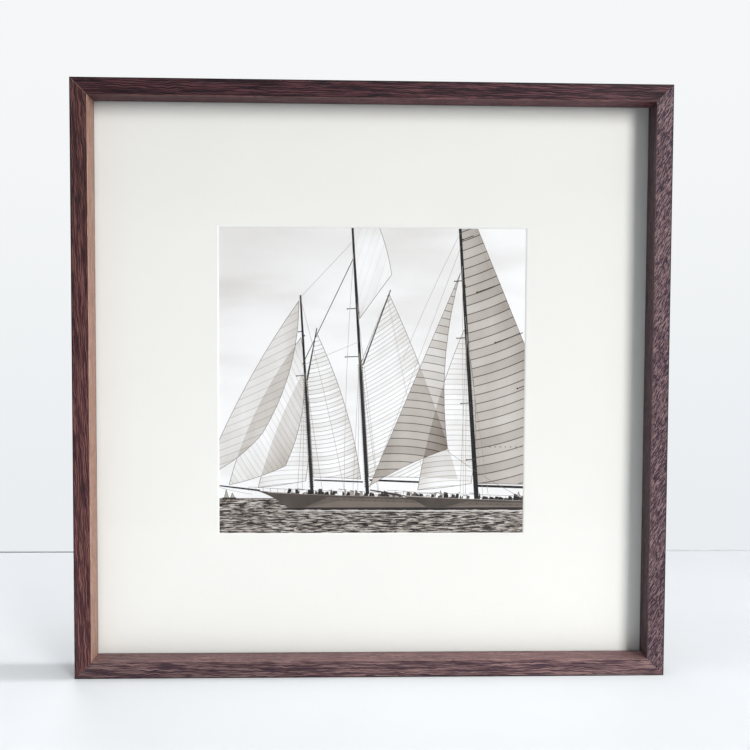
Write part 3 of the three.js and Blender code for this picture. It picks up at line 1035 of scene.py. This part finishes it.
def draw_schooner(picture):
    """Two masts with gaff sails, a topsail over the mainsail, and three headsails."""
    yacht = Yacht(picture, stem=-104, deck=-98.5, length=172, lean=0.06, scale=1.0)
    fore, main = 0.29, 0.58
    # the mainsail with its topsail, then the foresail, each on its gaff and boom
    topsail = [(main + 0.01, 0.90), (main, 1.46), (main + 0.13, 1.40), (main + 0.19, 1.13)]
    yacht.sail(topsail, (0, 0.02, -0.03, 0), 0.93, seam=0.05, pitch=6, slope=72)
    mainsail = [(main + 0.01, 0.07), (main + 0.01, 0.68), (main + 0.17, 1.03), (main + 0.48, 0.06)]
    yacht.sail(mainsail, (0, 0, -0.02, 0.01), 0.96, seam=0.42, pitch=3.4, slope=30, bow=1.2)
    yacht.spar((main + 0.015, 0.66), (main + 0.18, 1.05), 1.3, end_width=0.9)
    yacht.spar((main + 0.015, 0.055), (main + 0.50, 0.035), 1.7)
    foresail = [(fore + 0.01, 0.07), (fore + 0.01, 0.60), (fore + 0.07, 0.83), (fore + 0.26, 0.06)]
    yacht.sail(foresail, (0, 0, -0.04, 0.01), 0.93, seam=0.42, pitch=3.8, slope=12, bow=0.8)
    yacht.spar((fore + 0.01, 0.58), (fore + 0.075, 0.85), 1.2, end_width=0.9)
    yacht.spar((fore + 0.015, 0.055), (fore + 0.27, 0.045), 1.3)
    # headsails, from the mast out
    staysail = [(0.01, 0.015), (fore - 0.01, 0.62), (fore - 0.03, 0.05)]
    yacht.sail(staysail, (-0.03, -0.05, -0.01), 0.93, seam=0.24, pitch=4.0, slope=4, bow=-0.5)
    jib = [(-0.14, 0.03), (fore - 0.01, 0.80), (0.16, 0.13)]
    yacht.sail(jib, (-0.05, -0.08, -0.03), 0.93, seam=0.14, pitch=4.6, slope=-62, bow=0.6)
    flying_jib = [(-0.27, 0.07), (fore - 0.01, 0.99), (0.05, 0.30)]
    yacht.sail(flying_jib, (-0.03, -0.07, -0.06), 0.86, seam=0.14, pitch=6, slope=24, bow=0.6)
    # hull and spars
    yacht.hull(stern=1.0, keel_start=0.17)
    yacht.deck_gear(0.16, 0.98, seed=5)
    yacht.spar((-0.27, 0.035), (0.02, 0.0), 1.0, 0.15, 1.7)
    yacht.mast(fore, 1.02, 3.0, hoops_to=0.58, spreaders=((0.60, 0.045), (0.83, 0.02)))
    yacht.mast(main, 1.60, 3.2, hoops_to=0.66, spreaders=((0.70, 0.075), (0.95, 0.05)))
    # standing and running rigging
    yacht.rope((fore, 1.01), (main, 1.30))
    yacht.rope((fore, 0.66), (main, 0.78))
    yacht.rope((fore - 0.01, 0.66), (main, 1.22), width=0.75, tone=0.3)
    yacht.rope((fore, 1.0), (fore + 0.17, 0.0), -0.01)
    yacht.rope((main, 1.24), (main - 0.12, 0.0), 0.01)
    yacht.rope((main, 0.98), (main + 0.06, 0.0))
    yacht.rope((main + 0.16, 1.02), (main + 0.30, 0.06))
    yacht.rope((-0.27, 0.04), (-0.02, -0.02), 0.02)


def draw_cutter(picture):
    """One tall mast, a large battened mainsail, a high-cut jib and a staysail."""
    yacht = Yacht(picture, stem=22, deck=-102, length=196, lean=0.07, scale=1.1)
    mast = 0.37
    beyond = 0.66                # past the picture's edge
    mainsail = [(mast + 0.01, 0.05), (mast, 1.25), (mast + 0.07, 1.25), (beyond, 0.62), (beyond, 0.045)]
    yacht.sail(mainsail, (0, 0, 0, 0, 0), 0.69, seam=0.38, pitch=8.0, slope=17, bow=0.4)
    battens = ((1.17, 0.01, 0.05), (0.93, 0.06, 0.11), (0.70, 0.13, 0.13), (0.49, 0.22, 0.13))
    for up, aft, reach in battens:
        tip = (mast + aft, up)
        yacht.spar(tip, (mast + aft + reach, up + reach * 0.36), 0.8, 0.2)
        picture.block(yacht.at(*tip), 0.9, 0.15)
    for reef in range(9):
        x, z = yacht.at(mast + 0.05 + reef * 0.024, 0.22)
        picture.line((x, z), (x + 1.1, z), 0.8, 0.3)
    staysail = [(0.10, 0.02), (mast - 0.01, 0.76), (mast - 0.02, 0.05)]
    yacht.sail(staysail, (-0.03, -0.05, -0.01), 0.93, seam=0.24, pitch=4.6, slope=3, bow=-0.5)
    jib = [(-0.12, 0.04), (mast - 0.01, 1.02), (0.25, 0.21)]
    yacht.sail(jib, (0.0, 0.05, 0.03), 0.79, seam=0.36, pitch=7.0, slope=-5, bow=-0.5)
    yacht.hull(stern=beyond, keel_start=0.15)
    yacht.deck_gear(0.16, beyond, seed=9)
    yacht.spar((-0.12, 0.02), (0.02, -0.005), 1.1, 0.15, 1.9)
    yacht.spar((mast, 0.04), (beyond, 0.03), 2.2)
    spreaders = ((0.72, 0.045), (0.98, 0.04), (0.42, 0.045), (0.16, 0.035))
    yacht.mast(mast, 1.30, 4.3, hoops_to=0.0, spreaders=spreaders)
    yacht.rope((mast, 1.14), (-0.12, 0.03))
    yacht.rope((mast, 1.05), (mast - 0.06, 0.0))
    yacht.rope((mast, 1.20), (mast - 0.30, 0.62), 0.01)
    yacht.rope((mast + 0.06, 1.26), (beyond - 0.04, 0.70), 0.02)
    yacht.rope((0.25, 0.20), (mast + 0.18, 0.0), 0.02, tone=0.4)
    yacht.rope((mast, 0.82), (mast + 0.03, 0.0))


def make_print():
    """The print as one thin closed sheet, its front face divided where the picture's shapes meet."""
    picture = Picture()
    draw_setting(picture)
    draw_schooner(picture)
    draw_cutter(picture)

    points, outlines = [], []
    for shape in picture.shapes:
        outlines.append(list(range(len(points), len(points) + len(shape["outline"]))))
        points += [Vector(p) for p in shape["outline"]]
    flat, _, cells, _, _, _ = delaunay_2d_cdt(points, [], outlines, 1, 1e-4, True)

    inside = []
    for cell in cells:
        x, z = sum((flat[i] for i in cell), Vector((0, 0))) / len(cell)
        top, layers = picture.top_at(x, z)
        if top is not None:
            inside.append((cell, top, top["tone"] - LAYER_SHADE * layers))
    used = sorted({i for cell, _, _ in inside for i in cell})
    built = bmesh.new()
    front, back = (
        {i: built.verts.new((flat[i].x * MM, depth, CENTRE.z + flat[i].y * MM)) for i in used}
        for depth in (PRINT_FRONT, PRINT_BACK)
    )
    ink_layer = built.loops.layers.float_vector.new("ink")
    panel_layer = built.loops.layers.float_vector.new("panel")
    for cell, shape, tone in inside:
        face = built.faces.new([front[i] for i in cell])
        face.material_index = shape["material"]
        for corner, i in zip(face.loops, cell):
            corner[ink_layer] = (tone, shape["belly"], shape["seam"])
            corner[panel_layer] = shape["lie"](flat[i].x, flat[i].y)
        built.faces.new([back[i] for i in reversed(cell)])
    partner = {front[i]: back[i] for i in used}
    rim = [edge.verts[:] for edge in built.edges if edge.is_boundary and edge.verts[0] in partner]
    for a, b in rim:
        built.faces.new((a, b, partner[b], partner[a]))

    materials = [
        paper_like("print_paper", (0.84, 0.83, 0.80), 0.02, 1300.0, 0.15, roughness=0.7),
        printed("print_sky", sky_tone),
        printed("print_sea", sea_tone),
        printed("print_drawn", drawn_tone),
    ]
    piece = finish_mesh("look_print", built, materials)
    stand_for(piece, "frame", "print")


make_print()


# ---- CAD nodes that keep their shape ----


def dress(node_name, material):
    """Gives a CAD node its material."""
    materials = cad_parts[node_name].data.materials
    materials.clear()
    materials.append(material)


def soften(node_name, width):
    """Rounds a board's edges a little."""
    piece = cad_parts[node_name]
    piece.modifiers.new("join_corners", "WELD").merge_threshold = 0.001 * MM
    bevel = piece.modifiers.new("soft_edges", "BEVEL")
    bevel.width = width
    bevel.segments = 2
    bevel.limit_method = "ANGLE"


zinc = zinc_plated_steel()
black = black_coated_steel()
tape = linen()

dress("glazing", picture_glass())
dress("mount_board", paper_like("mount_board", (0.80, 0.78, 0.72), 0.05, 700.0, 0.3))
dress("filler_board", corrugated_card())
dress("backing_board", hardboard())
soften("backing_board", 0.4 * MM)
for place in ("left", "right"):
    dress("print_hinge_" + place, tape)
for corner in ("top_left", "top_right", "bottom_left", "bottom_right"):
    for place in ("rear", "front"):
        dress(f"v_nail_{corner}_{place}", zinc)


# ---- Turn buttons ----


def pear_outline(radius, nose):
    """The button's outline from the right-hand side of the nose, anticlockwise, pivot at the origin."""
    lean = math.asin((BUTTON_ROUND - BUTTON_NOSE) / BUTTON_REACH)
    tip = arc((0, BUTTON_REACH), nose, lean, math.pi - lean, 14)
    heel = arc((0, 0), radius, math.pi - lean, FULL + lean, 28)
    shares = (0.25, 0.5, 0.75)
    left = [between(tip[-1], heel[0], share) for share in shares]
    right = [between(heel[-1], tip[0], share) for share in shares]
    return tip + left + heel + right


def turned_up(x, depth, z):
    """The pressed plate's nose rises smoothly past the bend."""
    past = max(0.0, z - BUTTON_BEND_AT)
    return (x, depth + BUTTON_BEND_RISE * (past / (BUTTON_LONGEST - BUTTON_BEND_AT)) ** 1.5, z)


def make_button_mesh():
    """A pressed pear-shaped plate: a hole with a softened lip, rounded edges and a turned-up nose."""
    soft = 0.3 * MM
    near, far = BUTTON_FRONT, BUTTON_FRONT + BUTTON_THICK
    outer = pear_outline(BUTTON_ROUND, BUTTON_NOSE)
    inner = pear_outline(BUTTON_ROUND - soft, BUTTON_NOSE - soft)
    rays = [Vector(point).normalized() for point in outer]
    hole, lip = (
        [(ray.x * radius, ray.y * radius) for ray in rays]
        for radius in (BUTTON_HOLE, BUTTON_HOLE + soft / 2)
    )

    def loop_between(a, b, share):
        return [between(p, q, share) for p, q in zip(a, b)]

    # From the hole out over one face of the plate, then back over the other. Each loop has its
    # distance in from the face.
    face = [(hole, soft / 2), (lip, 0)]
    face += [(loop_between(lip, inner, share), 0) for share in (0.25, 0.5, 0.7, 0.85)]
    face += [(inner, 0), (loop_between(inner, outer, 0.7), soft * 0.3), (outer, soft)]
    stations = [(loop, near + inset) for loop, inset in face]
    stations += [(loop, far - inset) for loop, inset in reversed(face)]
    built = bmesh.new()
    loft(built, [[turned_up(x, y, z) for x, z in loop] for loop, y in stations], closed=True)
    return mesh_alone(finish_mesh("button_pattern", built, [black], sharp_over=math.radians(50)))


# ---- Screws ----


def lathe(built, profile, steps):
    """Turns a profile of (radius, depth) round the depth axis. It starts and ends on the axis."""
    rows = [
        [built.verts.new((x, depth, z)) for x, z in circle((0, 0), radius, steps)]
        for radius, depth in profile[1:-1]
    ]
    for low, high in zip(rows, rows[1:]):
        ring_faces(built, low, high)
    for row, (_, depth) in ((rows[0], profile[0]), (rows[-1], profile[-1])):
        tip = built.verts.new((0, depth, 0))
        for i in range(steps):
            built.faces.new((tip, row[i], row[(i + 1) % steps]))


def screw_profile():
    """Point, threaded shank and pan head, the head's underside at depth 0."""
    profile = [(0, -SCREW_REACH)]
    depth = 0.3 * MM - SCREW_REACH
    while depth < -1.2 * MM:
        crest = SCREW_SHANK * min(1.0, (depth + SCREW_REACH) / SCREW_POINT)
        profile += [(crest * 0.72, depth), (crest, depth + SCREW_THREAD / 2)]
        depth += SCREW_THREAD
    neck, rim, crown = SCREW_SHANK * 0.8, 0.15 * MM, 1.2 * MM
    profile += [(neck, depth), (neck, 0), (SCREW_HEAD - rim, 0), (SCREW_HEAD, rim)]
    profile += arc((SCREW_HEAD - crown, SCREW_HEAD_RISE - crown), crown, 0, QUARTER, 8)
    profile += [(SCREW_HEAD * 0.3, SCREW_HEAD_RISE), (0, SCREW_HEAD_RISE)]
    return profile


def cross_slot(turn):
    """One of the two slots of a cross recess, which narrows towards its bottom."""
    mouth = (SCREW_HEAD_RISE + 0.2 * MM, 1.65 * MM, 0.42 * MM)
    bottom = (SCREW_HEAD_RISE - 1.1 * MM, 0.45 * MM, 0.26 * MM)
    c, s = math.cos(turn), math.sin(turn)
    loops = []
    for depth, long, wide in (mouth, bottom):
        corners = ((-long, -wide), (long, -wide), (long, wide), (-long, wide))
        loops.append([(x * c - z * s, depth, x * s + z * c) for x, z in corners])
    built = bmesh.new()
    loft(built, loops)
    return built


def make_screw_mesh():
    built = bmesh.new()
    lathe(built, screw_profile(), 32)
    piece = finish_mesh("screw_pattern", built, [zinc])
    for turn in (0, QUARTER):
        cut_away(piece, cross_slot(turn))
    return mesh_alone(piece)


def place_copy(mesh, node_name, place, body):
    """A copy of a mesh, put where a CAD node is to stand for it."""
    piece = link_object("look_" + node_name, mesh.copy())
    piece.matrix_world = place
    stand_for(piece, body, node_name)


button_mesh = make_button_mesh()
screw_mesh = make_screw_mesh()
turn_of_slot = random.Random(12)

for info in SIDES:
    for end, place in ((-1, info["before"]), (1, info["after"])):
        label = info["side"] + "_" + place
        pivot = side_matrix(info["turns"]) @ Matrix.Translation((end * BUTTON_PITCH / 2, 0, BUTTON_EDGE))
        place_copy(button_mesh, "turn_button_" + label, pivot, "button_" + label)
        seat = Matrix.Translation((0, BUTTON_FRONT + BUTTON_THICK + SCREW_GAP, 0))
        driven = pivot @ seat @ Matrix.Rotation(turn_of_slot.uniform(0, QUARTER), 4, "Y")
        place_copy(screw_mesh, "turn_screw_" + label, driven, "frame")


# ---- D-ring hangers ----


def make_strap():
    """The plate's flat strap, with a rounded end and a screw hole."""
    near, far = PLATE_FRONT, PLATE_FRONT + PLATE_THICK
    stations = [(PLATE_HALF_WIDTH, -drop) for drop in (0, 4 * MM, 10 * MM, PLATE_END_DROP)]
    rounded = arc((0, 0), PLATE_HALF_WIDTH, 0, QUARTER, 8)
    stations += [(half, -PLATE_END_DROP - past) for half, past in rounded[1:-1]]
    stations.append((0.3 * MM, -PLATE_END_DROP - PLATE_HALF_WIDTH))
    soft = 0.2 * MM
    loops = []
    for half, z in stations:
        flat = half - min(soft, half / 2)
        front = [(-half, near), (half, near)]
        back = [(half, far - soft), (flat, far), (-flat, far), (-half, far - soft)]
        loops.append([(x, y, z) for x, y in front + back])
    built = bmesh.new()
    loft(built, loops)
    strap = finish_mesh("plate_pattern", built, [zinc])
    tool = bmesh.new()
    add_prism(tool, circle((0, -PLATE_SCREW_DROP), SCREW_PILOT, 24), near - 1 * MM, far + 1 * MM)
    cut_away(strap, tool)
    return strap


def make_knuckle():
    """A tube rolled nearly shut: its free edge stops just short of the strap."""
    start, end = -QUARTER - 0.05, 3 * QUARTER - 0.30
    section = arc((RING_AXIS_DEPTH, 0), KNUCKLE_RADIUS, start, end, 28)
    section += arc((RING_AXIS_DEPTH, 0), KNUCKLE_BORE, end, start, 28)
    built = bmesh.new()
    loft(built, [[(x, y, z) for y, z in section] for x in (-KNUCKLE_HALF_WIDTH, KNUCKLE_HALF_WIDTH)])
    return finish_mesh("knuckle", built, [zinc])


def make_plate_mesh():
    strap = make_strap()
    combine(strap, make_knuckle(), "UNION")
    return mesh_alone(strap)


def ring_path():
    """The ring's centre line: a straight bar through the knuckle, two arms and a half round."""
    corner = RING_HALF_WIDTH - RING_CORNER
    path = [(-corner + 2 * corner * i / 6, 0.0) for i in range(6)]
    path += arc((corner, -RING_CORNER), RING_CORNER, QUARTER, 0, 5)
    path += arc((0, -RING_ARM), RING_HALF_WIDTH, 0, -math.pi, 28)
    path += arc((-corner, -RING_CORNER), RING_CORNER, math.pi, QUARTER, 5)[:-1]
    return [Vector(point) for point in path]


def make_ring_mesh():
    """Round wire bent along the ring's path."""
    path = ring_path()
    loops = []
    for i, point in enumerate(path):
        run = (path[(i + 1) % len(path)] - path[i - 1]).normalized()
        loops.append([
            (point.x + across * run.y, depth, point.y - across * run.x)
            for across, depth in circle((0, RING_AXIS_DEPTH), WIRE, 16)
        ])
    built = bmesh.new()
    loft(built, loops, closed=True)
    return mesh_alone(finish_mesh("ring_pattern", built, [zinc]))


plate_mesh = make_plate_mesh()
ring_mesh = make_ring_mesh()
for place, sign in (("left", -1), ("right", 1)):
    axis = Matrix.Translation((sign * (HALF - HANGER_EDGE), 0, HANGER_HEIGHT))
    place_copy(plate_mesh, "hanger_plate_" + place, axis, "frame")
    place_copy(ring_mesh, "hanger_ring_" + place, axis, "ring_" + place)
    seat = Matrix.Translation((0, PLATE_FRONT + PLATE_THICK + SCREW_GAP, -PLATE_SCREW_DROP))
    driven = axis @ seat @ Matrix.Rotation(0.5 + sign * 0.3, 4, "Y")
    place_copy(screw_mesh, "hanger_screw_" + place, driven, "frame")


# ---- Wall bumpers ----


def make_bumper_mesh():
    """A stuck-on rubber dome with a flat top and a rounded shoulder."""
    foot, shoulder = 0.2 * MM, 1.2 * MM
    profile = [(0, 0), (BUMPER_RADIUS - foot, 0), (BUMPER_RADIUS, foot)]
    profile += arc((BUMPER_RADIUS - shoulder, BUMPER_THICK - shoulder), shoulder, 0, QUARTER, 8)
    profile += [(BUMPER_RADIUS * 0.35, BUMPER_THICK), (0, BUMPER_THICK)]
    built = bmesh.new()
    lathe(built, profile, 40)
    return mesh_alone(finish_mesh("bumper_pattern", built, [soft_rubber()]))


bumper_mesh = make_bumper_mesh()
for place, sign in (("left", -1), ("right", 1)):
    stuck = Matrix.Translation((sign * (HALF - BUMPER_INSET), BUMPER_FRONT, WALL / 2))
    place_copy(bumper_mesh, "wall_bumper_" + place, stuck, "frame")

for pattern in (button_mesh, screw_mesh, plate_mesh, ring_mesh, bumper_mesh):
    bpy.data.meshes.remove(pattern)


# ---- Table, light and camera ----

TABLE_FRONT = -0.62
TABLE_BACK = 0.458
TABLE_HALF_WIDTH = 1.3
TABLE_THICK = 30 * MM
SKYLIGHT = (0.97, 0.985, 1.0)
KEY_AZIMUTH = math.radians(33)
KEY_ELEVATION = math.radians(16)
KEY_DISTANCE = 6.0


def add_length(name, section, material):
    """A length of the table from side to side, from its section in y and z."""
    built = bmesh.new()
    loft(built, [[(x, y, z) for y, z in section] for x in (-TABLE_HALF_WIDTH, TABLE_HALF_WIDTH)])
    return finish_mesh(name, built, [material])


def make_table():
    """A pale painted table top, with a slim grey strip along its back edge that paints the shaded seam
    there.
    """
    paint, place = new_material("pale_paint")
    mottle = smooth(noise(place, 5.0, detail=4.0), 0.3, 0.7)
    tooth = noise(place, 600.0, detail=3.0)
    principled(
        Base_Color=mixed(mottle, (0.630, 0.650, 0.668), (0.650, 0.668, 0.683)),
        Roughness=0.6,
        Normal=bumped(tooth, 0.15, 0.1 * MM),
    )
    edge = 4 * MM
    section = arc((TABLE_FRONT + edge, -edge), edge, math.pi, QUARTER, 5)
    section += arc((TABLE_BACK - edge, -edge), edge, QUARTER, 0, 5)
    section += [(TABLE_BACK, -TABLE_THICK), (TABLE_FRONT, -TABLE_THICK)]
    table = add_length("table", section, paint)

    # The grey strip is painted shade: it stands in for the dark seam where the table meets the wall.
    grey, place = new_material("seam_shade_strip")
    shade = mixed(noise(place, 30.0), (0.50, 0.52, 0.54), (0.58, 0.60, 0.61))
    principled(Base_Color=shade, Roughness=0.7)
    near, far = TABLE_BACK + 1 * MM, TABLE_BACK + 5 * MM
    low, high = -TABLE_THICK, 0.4 * MM
    strip = add_length("table_strip", ((near, low), (far, low), (far, high), (near, high)), grey)


make_table()


def area_light(name, power, width, height, place, target, colour=SKYLIGHT):
    lamp = bpy.data.lights.new(name, "AREA")
    lamp.shape = "RECTANGLE"
    lamp.size = width
    lamp.size_y = height
    lamp.energy = power
    lamp.color = colour
    light = link_object(name, lamp)
    light.visible_camera = False
    light.location = place
    light.rotation_euler = (Vector(target) - Vector(place)).to_track_quat("-Z", "Y").to_euler()


key_place = CENTRE + KEY_DISTANCE * Vector((
    math.sin(KEY_AZIMUTH) * math.cos(KEY_ELEVATION),
    -math.cos(KEY_AZIMUTH) * math.cos(KEY_ELEVATION),
    math.sin(KEY_ELEVATION),
))
area_light("window_light", 320, 1.8, 3.45, key_place, CENTRE, (1.0, 0.985, 0.965))
area_light("overhead_light", 14.5, 1.6, 0.5, (0.0, -0.28, 2.2), (0, -0.2, 0))
area_light("back_light", 8, 1.8, 0.8, (0.5, 0.5, 2.0), (0, 0.25, 0))
area_light("left_light", 0.5, 0.8, 0.5, (-0.8, 0.35, 1.1), (-0.6, 0.25, 0))
area_light("side_light", 190, 0.10, 1.6, (4.0, 0.0, 2.3), (-0.3, 0, 0))
area_light("rear_light", 22, 1.5, 1.2, (-1.0, 2.3, 0.9), CENTRE)


def make_world():
    """A pale studio: bright where it is seen, dimmer as light on the object."""
    world = bpy.data.worlds.new("studio")
    bpy.context.scene.world = world
    world.use_nodes = True
    tree = world.node_tree
    tree.nodes.clear()
    _, y, z = Value(node(tree, "TexCoord").outputs["Generated"]).parts()
    seen = mixed(smooth(z, -0.3, 0.3), srgb(234, 237, 240), srgb(245, 247, 248))
    backdrop = first_of(tree, "Background", (seen, 1.0))
    ambient = first_of(tree, "Background", ((0.93, 0.97, 1.0), smooth(y, 0.35, -0.35, 0.08, 0.33)))
    camera_ray = first_of(tree, "LightPath")
    mix = first_of(tree, "MixShader", (camera_ray, ambient, backdrop))
    node(tree, "OutputWorld", {"Surface": mix})


make_world()

camera_data = bpy.data.cameras.new("camera")
camera_data.lens = 44.485
camera_data.sensor_width = 36
camera = link_object("camera", camera_data)
camera.location = (-0.0229, -0.8232, 0.3017)
camera.rotation_euler = (math.radians(87.53), math.radians(-0.276), math.radians(-1.723))
bpy.context.scene.camera = camera
bpy.context.scene.view_settings.view_transform = "Standard"
